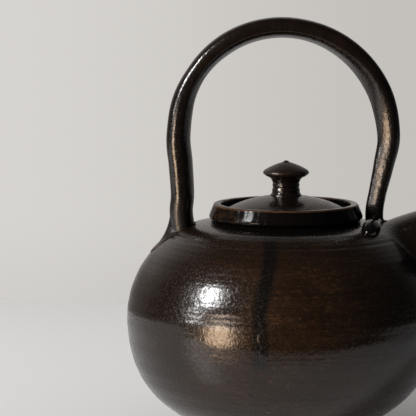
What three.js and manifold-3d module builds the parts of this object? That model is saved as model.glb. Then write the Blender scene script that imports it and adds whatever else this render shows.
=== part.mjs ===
// A stoneware teapot with a fixed overhead handle, an inset lid and a short spout.
// Sizes are millimetres and +Z is up. The origin is the middle of the foot, on the pot's axis.
// The arch of the handle lies in the XZ plane, and the spout points along +X.

import * as THREE from 'three';
import { mergeVertices } from 'three/addons/utils/BufferGeometryUtils.js';
import Module from 'manifold-3d';

const wasm = await Module();
wasm.setup();

// The gap between two pieces that touch on the real pot.
const clearance = 0.3;

// How thick smeared clay is at its edge.
const edgeThickness = 0.8;

// The belly is two arcs that meet at its widest ring.
const bellyRadius = 75;
const widestHeight = 56;
const upperArcRadius = 47;
const lowerArcRadius = 52;
const wallThickness = 4.5;
const floorHeight = 12;
const chamberTopHeight = 98;
const footHeight = 7;
const footRadius = 40;
const footBevel = 1.2;

// The neck and the conical collar that stands on it.
const shoulderTopHeight = 102.1;
const neckRadius = 34.6;
const neckHeight = 102.1;
const mouthRadius = 30.5;
const collarBaseRadius = 36.2;
const collarRimRadius = 34;
const collarRimHeight = 109.8;
const ledgeHeight = 104.8;
const ledgeBoreRadius = 25;
const ledgeDepth = 5;

// The lid and its knob.
const lidRadius = 28.5;
const lidDomeRadius = 62;
const lidTopHeight = 113.8;
const lidThickness = 4.2;
const flangeRadius = 23;
const flangeBoreRadius = 19.5;
const flangeDepth = 9;
const ventRadius = 1.8;
const ventOffset = 13.5;
const stemRadius = 7.3;
const stemWaist = 6.45;
const stemFlare = 8.2;
const knobCapHeight = 122.4;
const knobCapRadius = 10.85;
const knobTipHeight = 129.9;

// The arched handle: half an ellipse on two legs.
const archHalfWidth = 48.9;
const archRise = 50.3;
const archCentreX = -1;
const archCentreHeight = 142;
const handleTopHeight = archCentreHeight + archRise;
const handleThickness = 10.5;
const handleDepth = 13;

// The spout: its outside narrows from the root on the belly to the tip.
const spoutRootRadius = 25.5;
const spoutTipRadius = 8;
const spoutWall = 3.4;
const coilReach = 4.5;
const spareClayRadius = 3.4;
const spareClayRise = 0.2;
const strainerRadius = 17;
const strainerWall = 3;
const strainerHoleRadius = 1.1;
const wallHoleRadius = 13.5;

// How finely round shapes are divided.
const roundSegments = 40;
const smallSegments = 24;
const arcSteps = 5;
const outsideSteps = 7;
const skirtTurns = 24;
const handleSides = 12;

const bronzeGlaze = { color: 0x2b2119, roughness: 0.28, metalness: 0.45 };
const blackGlaze = { color: 0x14100d, roughness: 0.2, metalness: 0.3 };
const bareClay = { color: 0x6d5443, roughness: 0.9, metalness: 0 };

// A solid from any closed three.js geometry, for cutting and joining.
function toSolid(geometry) {
  const bare = geometry.index ? geometry.toNonIndexed() : geometry.clone();
  bare.deleteAttribute('normal');
  bare.deleteAttribute('uv');
  const merged = mergeVertices(bare, 1e-4);
  return new wasm.Manifold(new wasm.Mesh({
    numProp: 3,
    vertProperties: new Float32Array(merged.attributes.position.array),
    triVerts: new Uint32Array(merged.index.array),
  }));
}

// A solid turned back into a three.js geometry.
function toGeometry(solid) {
  const mesh = solid.getMesh();
  const geometry = new THREE.BufferGeometry();
  geometry.setAttribute('position', new THREE.BufferAttribute(mesh.vertProperties, 3));
  geometry.setIndex(new THREE.BufferAttribute(mesh.triVerts, 1));
  geometry.computeVertexNormals();
  return geometry;
}

// A thrown form: points of radius and height, turned round the pot's axis.
function thrown(points, segments = roundSegments) {
  const outline = points.map(([radius, height]) => new THREE.Vector2(radius, height));
  const geometry = new THREE.LatheGeometry(outline, segments);
  geometry.rotateX(Math.PI / 2);
  return geometry;
}

// A ring has an outline that closes on itself.
function thrownRing(points, segments = roundSegments) {
  return thrown([...points, points[0]], segments);
}

// Points of a circular arc in radius and height, from one height to another.
function arcPoints(centreRadius, centreHeight, radius, fromHeight, toHeight, steps = arcSteps) {
  const start = Math.asin((fromHeight - centreHeight) / radius);
  const end = Math.asin((toHeight - centreHeight) / radius);
  const points = [];
  for (let step = 0; step <= steps; step += 1) {
    const angle = start + (end - start) * (step / steps);
    points.push([centreRadius + radius * Math.cos(angle), centreHeight + radius * Math.sin(angle)]);
  }
  return points;
}

// The outside of the belly, moved outwards by a margin, or inwards where it is negative.
function bellyOutline(margin, fromHeight, toHeight, steps = arcSteps) {
  const lower = arcPoints(
    bellyRadius - lowerArcRadius, widestHeight, lowerArcRadius + margin, fromHeight, widestHeight, steps);
  const upper = arcPoints(
    bellyRadius - upperArcRadius, widestHeight, upperArcRadius + margin, widestHeight, toHeight, steps);
  return [...lower, ...upper.slice(1)];
}

// The hollow of the belly above its floor, made smaller by a margin.
function chamberOutline(margin) {
  return bellyOutline(-wallThickness - margin, floorHeight + 1, chamberTopHeight);
}

// The belly as a full body with no hollow, to cut what is joined to it.
function bellyBlank(margin) {
  const bottom = footHeight;
  const top = shoulderTopHeight + margin;
  const outline = bellyOutline(margin, bottom, top, 2 * outsideSteps);
  return toSolid(thrown([[0, bottom], ...outline, [0, top]]));
}

// The point nearest to a place on the outside of the belly, or at a margin from it.
function nearestOnBelly(place, margin) {
  const arc = place.z > widestHeight ? upperArcRadius : lowerArcRadius;
  const radius = Math.hypot(place.x, place.y);
  const out = new THREE.Vector2(radius - (bellyRadius - arc), place.z - widestHeight);
  out.setLength(arc + margin);
  const reach = (bellyRadius - arc + out.x) / radius;
  return new THREE.Vector3(place.x * reach, place.y * reach, widestHeight + out.y);
}

// A tube along a path, whose section swells and thins as the factor at each step says.
function swept(path, section, steps, factorAt) {
  const geometry = new THREE.ExtrudeGeometry(section, { steps, bevelEnabled: false, extrudePath: path });
  const stations = path.getSpacedPoints(steps);
  const position = geometry.attributes.position;
  const point = new THREE.Vector3();
  for (let index = 0; index < position.count; index += 1) {
    point.fromBufferAttribute(position, index);
    let nearest = 0;
    stations.forEach((station, number) => {
      if (station.distanceToSquared(point) < stations[nearest].distanceToSquared(point)) {
        nearest = number;
      }
    });
    const centre = stations[nearest];
    point.sub(centre).multiplyScalar(factorAt(nearest / steps)).add(centre);
    position.setXYZ(index, point.x, point.y, point.z);
  }
  return geometry;
}

// An oval section, as wide across the arch as its depth.
function ovalSection(depth, thickness, sides) {
  const shape = new THREE.Shape();
  for (let side = 0; side < sides; side += 1) {
    const angle = (2 * Math.PI * side) / sides;
    const x = (depth / 2) * Math.cos(angle);
    const y = (thickness / 2) * Math.sin(angle);
    if (side === 0) {
      shape.moveTo(x, y);
    } else {
      shape.lineTo(x, y);
    }
  }
  shape.closePath();
  return shape;
}

// A smooth path through points of X, Y and Z.
function smoothPath(points) {
  return new THREE.CatmullRomCurve3(points.map(([x, y, z]) => new THREE.Vector3(x, y, z)));
}

const teapot = new THREE.Group();

function addPiece(name, geometry, finish) {
  const mesh = new THREE.Mesh(geometry, new THREE.MeshStandardMaterial(finish));
  mesh.name = name;
  teapot.add(mesh);
}

// The spout's middle line leaves the belly at its shoulder and rises to the tip.
const spoutPath = new THREE.QuadraticBezierCurve3(
  new THREE.Vector3(50, 0, 73.8),
  new THREE.Vector3(76, 0, 92),
  new THREE.Vector3(104, 0, 117.4),
);
const spoutRootPlace = 0.2;
const spoutRoot = spoutPath.getPointAt(spoutRootPlace);
const spoutDirection = spoutPath.getTangentAt(spoutRootPlace);
const spoutSteps = 10;
const spoutSides = 30;

function spoutRadiusAt(place) {
  const narrowing = Math.cos((Math.PI / 2) * place) ** 2;
  return spoutTipRadius + (spoutRootRadius - spoutTipRadius) * narrowing;
}

function spoutSolid(margin) {
  const section = ovalSection(2, 2, spoutSides);
  return toSolid(swept(spoutPath, section, spoutSteps, (place) => spoutRadiusAt(place) + margin));
}

// The bore runs on past both ends of the spout, so that it opens them.
function spoutBore() {
  const start = spoutPath.getPointAt(0).addScaledVector(spoutPath.getTangentAt(0), -3);
  const end = spoutPath.getPointAt(1).addScaledVector(spoutPath.getTangentAt(1), 3);
  const inner = [1, 2, 3, 4].map((number) => spoutPath.getPointAt(number / 5));
  const path = new THREE.CatmullRomCurve3([start, ...inner, end]);
  const section = ovalSection(2, 2, spoutSides);
  return toSolid(swept(path, section, spoutSteps, (place) => spoutRadiusAt(place) - spoutWall));
}

// A bar that points along a direction, with its middle at a place.
function barAlong(direction, middle, radius, length, sides) {
  const geometry = new THREE.CylinderGeometry(radius, radius, length, sides);
  const turn = new THREE.Quaternion().setFromUnitVectors(new THREE.Vector3(0, 1, 0), direction);
  geometry.applyQuaternion(turn);
  geometry.translate(middle.x, middle.y, middle.z);
  return toSolid(geometry);
}

// The belly: the thrown wall and floor, with its short neck and the hole behind the spout.
function makeBelly() {
  const bottom = footHeight + clearance;
  const outside = bellyOutline(0, bottom, shoulderTopHeight, outsideSteps);
  const inside = chamberOutline(0).reverse();
  const outline = [
    [0, bottom],
    ...outside,
    [neckRadius + 0.6, neckHeight - 0.5],
    [neckRadius, neckHeight],
    [mouthRadius, neckHeight],
    [mouthRadius, chamberTopHeight + 0.8],
    ...inside,
    [inside[inside.length - 1][0] - 6, floorHeight],
    [0, floorHeight],
  ];
  const wall = toSolid(thrown(outline));
  const hole = barAlong(spoutDirection, spoutRoot, wallHoleRadius, 40, smallSegments);
  return toGeometry(wall.subtract(hole));
}

// The foot: a flat turned slab of bare clay.
function makeFoot() {
  return thrown([
    [0, 0],
    [footRadius - footBevel, 0],
    [footRadius, footBevel],
    [footRadius, footHeight],
    [0, footHeight],
  ]);
}

// The collar: a thick ring that leans inwards, rounded at its foot and thin at its rim.
function makeCollar() {
  const bottom = neckHeight + clearance;
  const inside = mouthRadius - 0.1;
  return thrownRing([
    [neckRadius, bottom],
    [collarBaseRadius - 0.6, bottom + 0.3],
    [collarBaseRadius, bottom + 1.2],
    [collarBaseRadius - 0.5, bottom + 2.8],
    [collarRimRadius + 0.1, collarRimHeight - 0.7],
    [collarRimRadius - 0.6, collarRimHeight],
    [inside + 0.6, collarRimHeight],
    [inside, collarRimHeight - 0.8],
    [inside, bottom],
  ]);
}

// The gallery: the ledge inside the collar that the lid sits on.
function makeGallery() {
  const outside = mouthRadius - 0.1 - clearance;
  return thrownRing([
    [ledgeBoreRadius, ledgeHeight - ledgeDepth + 1.5],
    [outside, ledgeHeight - ledgeDepth],
    [outside, ledgeHeight],
    [ledgeBoreRadius + 0.6, ledgeHeight],
    [ledgeBoreRadius, ledgeHeight - 0.6],
  ], roundSegments);
}

// The spout is cut to the belly that it was set on.
function makeSpout() {
  const spout = spoutSolid(0).subtract(spoutBore()).subtract(bellyBlank(clearance));
  return toGeometry(spout);
}

// A ring of clay in a corner: a closed section at each turn round it, joined to the next.
function clayRing(turns, sectionAt) {
  const sections = [];
  for (let number = 0; number <= turns; number += 1) {
    sections.push(sectionAt((2 * Math.PI * (number % turns)) / turns));
  }
  const corners = sections[0].length;
  const ring = new THREE.TorusGeometry(10, 1, corners, turns);
  for (let corner = 0; corner <= corners; corner += 1) {
    sections.forEach((section, number) => {
      const point = section[corner % corners];
      ring.attributes.position.setXYZ(corner * (turns + 1) + number, point.x, point.y, point.z);
    });
  }
  return toSolid(ring);
}

// The hollow curve of a fillet from one surface to another, closed behind by a point in the corner.
function filletSection(from, corner, to, behind) {
  const curve = new THREE.QuadraticBezierCurve3(from, corner, to);
  return [...curve.getPoints(4), behind];
}

// A point on the outside of the spout, or at a margin from it, at a place along it and an angle round it.
function spoutSurface(place, angle, margin) {
  const middle = spoutPath.getPointAt(place);
  const tangent = spoutPath.getTangentAt(place);
  const sideways = new THREE.Vector3(0, -1, 0);
  const upwards = new THREE.Vector3().crossVectors(sideways, tangent);
  const radius = spoutRadiusAt(place) + margin;
  middle.addScaledVector(upwards, radius * Math.cos(angle));
  return middle.addScaledVector(sideways, radius * Math.sin(angle));
}

// How far a place is outside the belly.
function outsideBelly(place) {
  const nearest = nearestOnBelly(place, 0);
  const outwards = Math.hypot(place.x, place.y) + place.z > Math.hypot(nearest.x, nearest.y) + nearest.z;
  return outwards ? nearest.distanceTo(place) : -nearest.distanceTo(place);
}

// How far a place is outside the spout.
function outsideSpout(place) {
  const stations = 40;
  let least = Infinity;
  for (let number = 0; number <= stations; number += 1) {
    const along = number / stations;
    least = Math.min(least, spoutPath.getPointAt(along).distanceTo(place) - spoutRadiusAt(along));
  }
  return least;
}

// The height of the shoulder, or of the spout where that stands above it.
function groundHeight(x, y) {
  let below = widestHeight;
  let above = handleTopHeight;
  for (let halving = 0; halving < 20; halving += 1) {
    const middle = (below + above) / 2;
    const place = new THREE.Vector3(x, y, middle);
    if (Math.min(outsideBelly(place), outsideSpout(place)) > 0) {
      above = middle;
    } else {
      below = middle;
    }
  }
  return below;
}

// The place along the spout where it comes out of the belly, at an angle round it.
function spoutLeavesBelly(angle) {
  let inside = 0;
  let outside = 0.6;
  for (let halving = 0; halving < 20; halving += 1) {
    const middle = (inside + outside) / 2;
    if (outsideBelly(spoutSurface(middle, angle, 0)) > 0) {
      outside = middle;
    } else {
      inside = middle;
    }
  }
  return inside;
}

// The coil of clay that was pressed into the corner between the spout and the belly.
function coilSection(angle, margin) {
  const reach = coilReach + 4 * margin;
  const edge = edgeThickness + 2 * margin;
  const leaves = spoutLeavesBelly(angle);
  const corner = spoutSurface(leaves, angle, 0);
  const onSpout = spoutSurface(leaves + reach / spoutPath.getLength(), angle, edge);
  const away = corner.clone().sub(spoutPath.getPointAt(leaves)).setLength(reach);
  const onBelly = nearestOnBelly(corner.clone().add(away), edge);
  const behind = corner.clone().lerp(spoutPath.getPointAt(0), 0.2);
  return filletSection(onBelly, corner, onSpout, behind);
}

function coilSolid(margin) {
  return clayRing(spoutSides, (angle) => coilSection(angle, margin));
}

function makeLutingCoil() {
  const coil = coilSolid(0).subtract(bellyBlank(clearance)).subtract(spoutSolid(clearance));
  return toGeometry(coil.subtract(handleSolid(clearance)));
}

// The strainer: a pierced half ball inside the belly, over the hole behind the spout.
function makeStrainer() {
  const centre = spoutRoot;
  const ball = (radius) => {
    const geometry = new THREE.SphereGeometry(radius, smallSegments, smallSegments / 2);
    geometry.translate(centre.x, centre.y, centre.z);
    return toSolid(geometry);
  };
  const chamber = toSolid(thrown([
    [0, floorHeight + 1], ...chamberOutline(clearance), [0, chamberTopHeight]]));
  let strainer = ball(strainerRadius).subtract(ball(strainerRadius - strainerWall)).intersect(chamber);
  const inwards = spoutDirection.clone().negate();
  const sideways = new THREE.Vector3(0, 1, 0);
  const upwards = new THREE.Vector3().crossVectors(inwards, sideways);
  const rings = [[0, 1], [0.38, 6], [0.74, 10]];
  rings.forEach(([tilt, count]) => {
    for (let number = 0; number < count; number += 1) {
      const round = (2 * Math.PI * number) / count;
      const direction = inwards.clone().multiplyScalar(Math.cos(tilt));
      direction.addScaledVector(sideways, Math.sin(tilt) * Math.cos(round));
      direction.addScaledVector(upwards, Math.sin(tilt) * Math.sin(round));
      const middle = centre.clone().addScaledVector(direction, strainerRadius - strainerWall / 2);
      strainer = strainer.subtract(barAlong(direction, middle, strainerHoleRadius, 8, 6));
    }
  });
  return toGeometry(strainer);
}

// The middle line of the handle: up the left leg, over the arch and down the right leg.
function handlePath() {
  const arch = [];
  const archPoints = 8;
  for (let number = 0; number <= archPoints; number += 1) {
    const angle = Math.PI * (1 - number / archPoints);
    const x = archCentreX + archHalfWidth * Math.cos(angle);
    const z = archCentreHeight + archRise * Math.sin(angle);
    arch.push([x, 0, z]);
  }
  const leftLeg = [[-47.4, 0, 96], [-48.8, 0, 105.5], [-48.3, 0, 114], [-49.2, 0, 128]];
  const rightLeg = [[45.8, 0, 128], [42.8, 0, 114], [41.5, 0, 105.5], [42, 0, 96]];
  return smoothPath([...leftLeg, ...arch, ...rightLeg]);
}

const handleSteps = 34;

// How thick the handle is along its length: full in the left leg, thin at the foot of the right leg.
const handleSwell = [1.12, 1.12, 1.14, 1.08, 0.92, 0.95, 0.94, 0.98, 1.06, 1.03, 0.98, 0.9, 0.74, 0.76];

function handleFactorAt(place) {
  const along = place * (handleSwell.length - 1);
  const before = Math.min(Math.floor(along), handleSwell.length - 2);
  return THREE.MathUtils.lerp(handleSwell[before], handleSwell[before + 1], along - before);
}

function handleSolid(margin) {
  const section = ovalSection(handleDepth + 2 * margin, handleThickness + 2 * margin, handleSides);
  return toSolid(swept(handlePath(), section, handleSteps, handleFactorAt));
}

function makeHandle() {
  return toGeometry(handleSolid(0).subtract(bellyBlank(clearance)).subtract(spoutSolid(clearance)));
}

// What is cut from the clay at the feet of the handle, so that it fits its neighbours.
function cutFoot(solid) {
  const clear = solid.subtract(bellyBlank(clearance)).subtract(handleSolid(clearance));
  return toGeometry(clear.subtract(spoutSolid(clearance)).subtract(coilSolid(clearance)));
}

// A skirt of clay round a leg, smeared down onto the shoulder. It climbs the leg all round and reaches
// away from it, least on its inner side, and the tail is what it has more of on its outer side.
function skirtSolid({ legX, halfWidth, outerSide, reach, climb, tail, tailClimb }) {
  const halfDepth = halfWidth * (handleDepth / handleThickness);
  return clayRing(skirtTurns, (angle) => {
    const outwards = (1 + outerSide * Math.cos(angle)) / 2;
    const towardsTail = Math.max(outerSide * Math.cos(angle), 0) ** 3;
    const across = Math.cos(angle);
    const along = Math.sin(angle);
    const legPoint = (x) => new THREE.Vector3(legX + halfWidth * x * across, halfDepth * x * along, 0);
    const corner = legPoint(1.04);
    const foot = legPoint(1.1);
    const reached = reach * outwards + tail * towardsTail;
    foot.x += reached * across;
    foot.y += reached * along;
    const top = legPoint(1.1);
    const behind = legPoint(0.6);
    corner.z = groundHeight(corner.x, corner.y) + edgeThickness;
    foot.z = groundHeight(foot.x, foot.y) + edgeThickness;
    top.z = corner.z + climb + tailClimb * towardsTail;
    behind.z = corner.z - 3;
    return filletSection(foot, corner, top, behind);
  });
}

function makeLeftFoot() {
  return cutFoot(skirtSolid({
    legX: -48.5, halfWidth: 5.9, outerSide: -1, reach: 1.6, climb: 3, tail: 7.4, tailClimb: 9 }));
}

// The spare end of clay that was pressed against the right foot and lies along the shoulder.
function spareClay() {
  const places = [[41.5, -3], [40.3, -14], [38, -25], [33.8, -37]];
  const path = smoothPath(places.map(([x, y]) => [x, y, groundHeight(x, y) + spareClayRise]));
  const section = ovalSection(2, 2, 10);
  return toSolid(swept(path, section, 10, (place) => spareClayRadius * (1 - 0.4 * place ** 2)));
}

function makeRightFoot() {
  const skirt = skirtSolid({
    legX: 41.6, halfWidth: 4.1, outerSide: 1, reach: 1.8, climb: 3, tail: 4, tailClimb: 3 });
  return cutFoot(skirt.add(spareClay()));
}

// The lid's plate: a shallow dome with a vent hole behind the knob.
function makeLidPlate() {
  const underside = ledgeHeight + clearance;
  const dome = (radius, offset) => (
    lidTopHeight - offset - lidDomeRadius + Math.sqrt(lidDomeRadius ** 2 - radius ** 2));
  const hollowRadius = flangeBoreRadius - 0.4;
  const plate = toSolid(thrown([
    [0, dome(9, lidThickness)],
    [9, dome(9, lidThickness)],
    [14, dome(14, lidThickness)],
    [hollowRadius, underside + 1],
    [hollowRadius + 0.4, underside],
    [lidRadius - 0.5, underside],
    [lidRadius, underside + 0.6],
    [lidRadius, underside + 1.3],
    [lidRadius - 0.7, dome(lidRadius - 0.7, 0)],
    [24, dome(24, 0)],
    [18, dome(18, 0)],
    [12, dome(12, 0)],
    [stemRadius + 0.5, dome(stemRadius + 0.5, 0)],
    [0, dome(stemRadius + 0.5, 0)],
  ]));
  const up = new THREE.Vector3(0, 0, 1);
  const ventPlace = new THREE.Vector3(0, ventOffset, lidTopHeight - 3);
  return toGeometry(plate.subtract(barAlong(up, ventPlace, ventRadius, 20, 12)));
}

// The lid's flange: the ring under the plate that keeps the lid in the mouth.
function makeLidFlange() {
  const top = ledgeHeight;
  const bottom = ledgeHeight - flangeDepth;
  return thrownRing([
    [flangeBoreRadius, bottom + 0.5],
    [flangeBoreRadius + 0.7, bottom],
    [flangeRadius - 1.2, bottom],
    [flangeRadius - 0.6, bottom + 0.6],
    [flangeRadius, top],
    [flangeBoreRadius, top],
  ]);
}

// The knob's stem, drawn in at its middle and flared where it meets the cap.
function makeKnobStem() {
  const bottom = lidTopHeight - 0.3;
  const top = knobCapHeight - clearance;
  const waistHeight = bottom + 4.6;
  return thrown([
    [0, bottom],
    [stemRadius, bottom],
    [stemRadius - 0.35, bottom + 1.5],
    [stemWaist, waistHeight],
    [stemWaist + 0.1, waistHeight + 2],
    [stemWaist + 0.65, top - 0.9],
    [stemFlare, top],
    [0, top],
  ], smallSegments);
}

// The knob's cap: a low cone with a small point and a rounded lip.
function makeKnobCap() {
  return thrown([
    [0, knobCapHeight],
    [stemFlare, knobCapHeight],
    [knobCapRadius - 1.1, knobCapHeight + 0.6],
    [knobCapRadius - 0.2, knobCapHeight + 1.3],
    [knobCapRadius, knobCapHeight + 2.1],
    [knobCapRadius - 0.5, knobCapHeight + 2.9],
    [7, knobTipHeight - 2.9],
    [3.2, knobTipHeight - 1.3],
    [1.2, knobTipHeight - 0.5],
    [0, knobTipHeight],
  ], smallSegments);
}

addPiece('belly', makeBelly(), bronzeGlaze);
addPiece('foot', makeFoot(), bareClay);
addPiece('collar', makeCollar(), blackGlaze);
addPiece('lid_gallery', makeGallery(), bronzeGlaze);
addPiece('spout', makeSpout(), bronzeGlaze);
addPiece('spout_luting_coil', makeLutingCoil(), blackGlaze);
addPiece('strainer', makeStrainer(), bronzeGlaze);
addPiece('handle', makeHandle(), bronzeGlaze);
addPiece('handle_foot_left', makeLeftFoot(), blackGlaze);
addPiece('handle_foot_right', makeRightFoot(), blackGlaze);
addPiece('lid_plate', makeLidPlate(), bronzeGlaze);
addPiece('lid_flange', makeLidFlange(), bareClay);
addPiece('knob_stem', makeKnobStem(), bronzeGlaze);
addPiece('knob_cap', makeKnobCap(), bronzeGlaze);

export default teapot;
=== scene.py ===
# %% [markdown]
# A stoneware teapot with a thick, dark iron glaze.
# The pot was thrown on a wheel, so most of its pieces are one outline turned round an axis. The handle
# and the spout are tubes that follow a path, and the clay pressed into the corners is a ring of sections.
# Every size of the pot is in millimetres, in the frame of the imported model, where the foot stands on
# Z = 0. It becomes metres where a mesh is made. The sizes of the room are in metres.

# %% Load the fixed frame
import math

import bpy
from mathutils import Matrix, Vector
from mathutils.geometry import interpolate_bezier


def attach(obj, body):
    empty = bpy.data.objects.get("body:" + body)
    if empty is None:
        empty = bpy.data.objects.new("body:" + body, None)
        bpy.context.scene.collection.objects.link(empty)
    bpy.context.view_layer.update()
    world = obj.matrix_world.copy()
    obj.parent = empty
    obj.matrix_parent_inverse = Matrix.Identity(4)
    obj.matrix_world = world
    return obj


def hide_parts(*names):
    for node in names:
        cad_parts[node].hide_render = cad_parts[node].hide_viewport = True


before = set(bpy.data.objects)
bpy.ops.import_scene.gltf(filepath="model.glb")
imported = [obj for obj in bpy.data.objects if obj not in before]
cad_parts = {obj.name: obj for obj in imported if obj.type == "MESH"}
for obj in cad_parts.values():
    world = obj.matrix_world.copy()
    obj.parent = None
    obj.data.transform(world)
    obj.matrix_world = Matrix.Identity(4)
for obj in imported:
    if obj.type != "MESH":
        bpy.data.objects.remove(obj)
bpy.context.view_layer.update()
MM = 0.001

# %% [markdown]
# The camera comes first. The photograph was taken from the front, a little above the pot, with a long
# lens from about a metre away, so the view is nearly flat. The spout's end falls outside the picture.

# %% Camera
CAMERA_TARGET = Vector((-36.6, 0, 107.4)) * MM
CAMERA_DISTANCE = 950 * MM
CAMERA_ELEVATION = math.radians(6.4)
CAMERA_LENS = 175


def place_camera():
    bpy.ops.object.camera_add()
    camera = bpy.context.object
    camera.name = "camera"
    camera.data.lens = CAMERA_LENS
    camera.data.clip_start = 10 * MM
    back = Vector((0, -math.cos(CAMERA_ELEVATION), math.sin(CAMERA_ELEVATION)))
    camera.location = CAMERA_TARGET + back * CAMERA_DISTANCE
    camera.rotation_euler = (math.pi / 2 - CAMERA_ELEVATION, 0, 0)
    bpy.context.scene.camera = camera
    return camera


camera = place_camera()
print("camera at", [round(value, 3) for value in camera.location])

# %% [markdown]
# An outline is drawn by extruding one vertex from point to point, as a pencil draws a section, and Spin
# turns it round the pot's axis. A modelled cylinder could be pushed into the same shape, but this is how
# the clay was shaped too, so a thrown line in the outline becomes a ring on the pot.

# %% Draw an outline and spin it
def start_piece(name):
    bpy.ops.object.select_all(action="DESELECT")
    bpy.ops.mesh.primitive_plane_add(size=MM)
    piece = bpy.context.object
    piece.name = name
    piece.data.name = name
    return piece


def draw_outline(points):
    """Draws a line of edges through points of radius and height in edit mode."""
    bpy.ops.mesh.select_all(action="SELECT")
    bpy.ops.mesh.merge(type="CENTER")
    places = [Vector((radius, 0, height)) * MM for radius, height in points]
    bpy.ops.transform.translate(value=places[0])
    for here, after in zip(places, places[1:]):
        bpy.ops.mesh.extrude_region_move(TRANSFORM_OT_translate={"value": after - here})


def close_mesh():
    """Merges the points that meet and turns every face outwards, in edit mode."""
    bpy.ops.mesh.select_all(action="SELECT")
    bpy.ops.mesh.remove_doubles(threshold=0.004 * MM)
    bpy.ops.mesh.normals_make_consistent(inside=False)
    bpy.ops.object.mode_set(mode="OBJECT")


def throw(name, points, segments=160):
    """A piece turned on the wheel: its outline spun round the pot's axis."""
    piece = start_piece(name)
    bpy.ops.object.mode_set(mode="EDIT")
    draw_outline(points)
    bpy.ops.mesh.select_all(action="SELECT")
    bpy.ops.mesh.spin(steps=segments, angle=2 * math.pi, center=(0, 0, 0), axis=(0, 0, 1))
    close_mesh()
    return piece


def make_active(piece):
    bpy.ops.object.select_all(action="DESELECT")
    piece.select_set(True)
    bpy.context.view_layer.objects.active = piece


def finish_piece(piece, body, slot, *nodes, angle=40):
    """Smooths a piece, lets it ride on its body and stand for its CAD nodes."""
    make_active(piece)
    bpy.ops.object.transform_apply(location=True, rotation=True, scale=True)
    bpy.ops.object.shade_smooth_by_angle(angle=math.radians(angle))
    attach(piece, body)
    if nodes:
        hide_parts(*nodes)
    print(piece.name, len(piece.data.polygons), "faces, rides on", body)


def apply_modifier(piece, kind, **settings):
    """Adds a modifier, gives it its settings and applies it."""
    modifier = piece.modifiers.new(kind.lower(), kind)
    for name, value in settings.items():
        setattr(modifier, name, value)
    make_active(piece)
    bpy.ops.object.modifier_apply(modifier=modifier.name)


def soften(piece, levels=2):
    """Rounds a thrown piece's corners, as a melted glaze does."""
    apply_modifier(piece, "SUBSURF", levels=levels, render_levels=levels)


def cut(piece, tool):
    """Cuts a piece with a tool and removes the tool."""
    apply_modifier(piece, "BOOLEAN", operation="DIFFERENCE", object=tool, solver="EXACT")
    bpy.data.objects.remove(tool)


DRILL_LENGTH = 40


def drill(piece, place, direction, radius):
    """Cuts a round hole."""
    bpy.ops.object.select_all(action="DESELECT")
    bpy.ops.mesh.primitive_cylinder_add(
        vertices=32, radius=radius * MM, depth=DRILL_LENGTH * MM, location=place * MM)
    drill_bit = bpy.context.object
    drill_bit.rotation_mode = "QUATERNION"
    drill_bit.rotation_quaternion = direction.to_track_quat("Z", "Y")
    bpy.context.view_layer.update()
    cut(piece, drill_bit)


# %% [markdown]
# The handle and the spout follow a line. A drawn section runs along the line as a curve's bevel, swells
# or thins with the curve's radius, and becomes a mesh at the end. Rings of points could be bridged
# instead, but a curve keeps the section square to the line by itself.

# %% Smooth lines and pulled tubes
def evenly(line, count):
    """The same line as count + 1 evenly spaced points."""
    reached = [0.0]
    for here, after in zip(line, line[1:]):
        reached.append(reached[-1] + (after - here).length)
    points = []
    behind = 0
    for number in range(count + 1):
        wanted = reached[-1] * number / count
        while behind < len(line) - 2 and reached[behind + 1] < wanted:
            behind += 1
        share = (wanted - reached[behind]) / (reached[behind + 1] - reached[behind])
        points.append(line[behind].lerp(line[behind + 1], share))
    return points


def smooth_line(knots, count):
    """Evenly spaced points on a smooth line through knots."""
    line = []
    for number in range(len(knots) - 1):
        before = knots[max(number - 1, 0)]
        here, after = knots[number], knots[number + 1]
        later = knots[min(number + 2, len(knots) - 1)]
        leaving = here + (after - before) / 6
        arriving = after - (later - here) / 6
        line += list(interpolate_bezier(here, leaving, arriving, after, 24))[:-1]
    line.append(knots[-1])
    return evenly(line, count)


def between(values, place):
    """The value at a place from 0 to 1 along a list of evenly spread values."""
    along = place * (len(values) - 1)
    before = min(int(along), len(values) - 2)
    return values[before] + (values[before + 1] - values[before]) * (along - before)


def start_curve(name, points):
    """A curve of straight steps through points."""
    bpy.ops.object.select_all(action="DESELECT")
    bpy.ops.curve.primitive_nurbs_path_add()
    piece = bpy.context.object
    piece.name = name
    piece.data.splines.clear()
    spline = piece.data.splines.new("POLY")
    spline.points.add(len(points) - 1)
    for point, place in zip(spline.points, points):
        point.co = (*(place * MM), 1)
    return piece


def oval(across, along, squareness=1.0, lean=0.0):
    """A section's points. A squareness under 1 flattens its sides, and lean thins it on one side."""
    points = []
    sides = 48
    for side in range(sides):
        angle = 2 * math.pi * side / sides
        x = math.copysign(abs(math.cos(angle)) ** squareness, math.cos(angle))
        y = math.copysign(abs(math.sin(angle)) ** squareness, math.sin(angle))
        if x < 0:
            x *= 1 - lean * (1 - y) / 2
        points.append(Vector((x * across / 2, y * along / 2, 0)))
    return points


def pull(name, line, swell, outline, turns=(0, 0)):
    """A tube along a line, as a mesh closed at both ends. Its section swells and turns on the way."""
    section = start_curve(name + "_section", outline)
    section.data.splines[0].use_cyclic_u = True
    piece = start_curve(name, line)
    curve = piece.data
    for number, point in enumerate(curve.splines[0].points):
        place = number / (len(line) - 1)
        point.radius = between(swell, place)
        point.tilt = math.radians(between(turns, place))
    curve.twist_mode = "MINIMUM"
    curve.bevel_mode = "OBJECT"
    curve.bevel_object = section
    curve.use_fill_caps = True
    bpy.ops.object.convert(target="MESH")
    piece = bpy.context.object
    bpy.data.objects.remove(section)
    bpy.ops.object.mode_set(mode="EDIT")
    close_mesh()
    return piece


# %% [markdown]
# The belly has a hole where the spout leaves it, so the spout's middle line is drawn before both. It is
# one soft bend. The belly's hole and the spout's own shape are worked out from the same line, and so
# they can't drift apart.

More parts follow.
